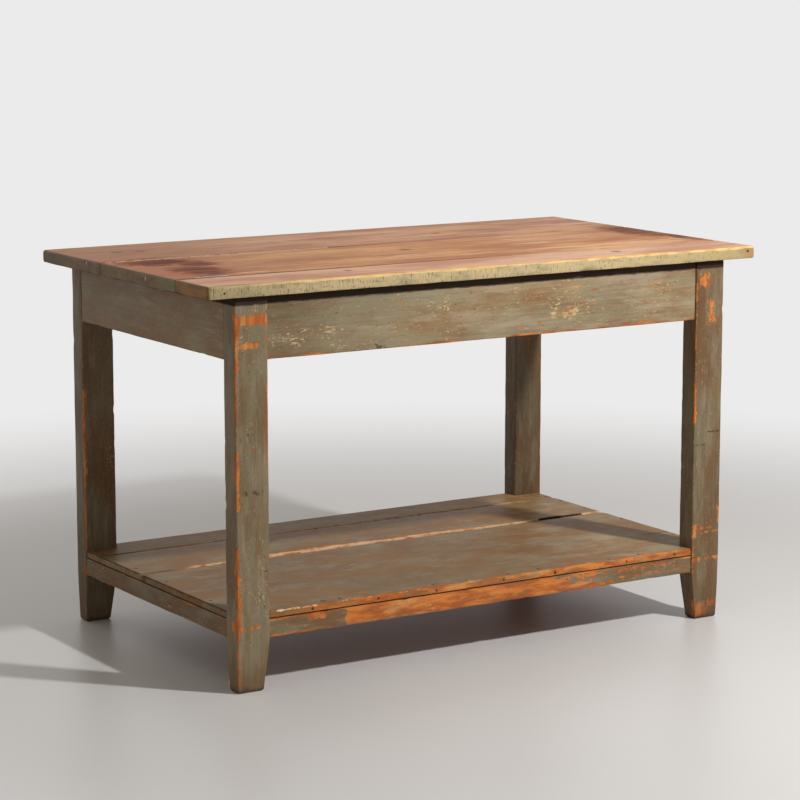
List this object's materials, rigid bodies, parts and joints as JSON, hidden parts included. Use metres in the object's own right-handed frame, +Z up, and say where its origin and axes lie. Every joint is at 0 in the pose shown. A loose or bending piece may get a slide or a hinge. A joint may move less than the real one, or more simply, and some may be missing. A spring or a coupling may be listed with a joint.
{
  "type": "kitchen table",
  "caption": "Worn painted kitchen work table with an overhanging plank top, tapered feet, a low board shelf and drawers that slide out of its far long side.",
  "frame": {"origin": "on the floor, in the middle of the box that holds the table with its drawers shut", "axes": "+X along the front from left to right, +Y from the front to the far side where the drawers open, +Z up"},
  "size_m": [1.263, 0.718, 0.77],
  "materials": {
    "worn_paint": "worn olive grey-green paint over an older orange coat",
    "oiled_top": "bare boards, oiled, stained and worn",
    "bare_pine": "bare aged pine",
    "iron": "rusted iron"
  },
  "bodies": {
    "table": {"apron_front": "worn_paint", "apron_left": "worn_paint", "apron_right": "worn_paint", "drawer_divider": "worn_paint", "drawer_rail_lower": "worn_paint", "drawer_rail_upper": "worn_paint", "drawer_stops": "bare_pine", "guide_centre": "bare_pine", "guide_left": "bare_pine", "guide_right": "bare_pine", "kicker_centre": "bare_pine", "kicker_left": "bare_pine", "kicker_right": "bare_pine", "leg_back_left": "worn_paint", "leg_back_right": "worn_paint", "leg_front_left": "worn_paint", "leg_front_right": "worn_paint", "runner_centre": "bare_pine", "runner_left": "bare_pine", "runner_right": "bare_pine", "shelf_board_back": "worn_paint", "shelf_board_front": "worn_paint", "shelf_board_middle": "worn_paint", "shelf_nails": "iron", "shelf_rail_back": "worn_paint", "shelf_rail_front": "worn_paint", "shelf_rail_left": "worn_paint", "shelf_rail_right": "worn_paint", "top_board_back": "oiled_top", "top_board_front": "oiled_top", "top_board_middle": "oiled_top"},
    "drawer_left": {"drawer_left_back": "bare_pine", "drawer_left_bottom": "bare_pine", "drawer_left_front": "worn_paint", "drawer_left_knob": "worn_paint", "drawer_left_side_left": "bare_pine", "drawer_left_side_right": "bare_pine"},
    "drawer_right": {"drawer_right_back": "bare_pine", "drawer_right_bottom": "bare_pine", "drawer_right_front": "worn_paint", "drawer_right_knob": "worn_paint", "drawer_right_side_left": "bare_pine", "drawer_right_side_right": "bare_pine"}
  },
  "joints": [
    {"name": "drawer_left_slide", "type": "slide", "parent": "table", "child": "drawer_left", "axis": [0, 1, 0], "range_m": [0, 0.33]},
    {"name": "drawer_right_slide", "type": "slide", "parent": "table", "child": "drawer_right", "axis": [0, 1, 0], "range_m": [0, 0.33]}
  ]
}
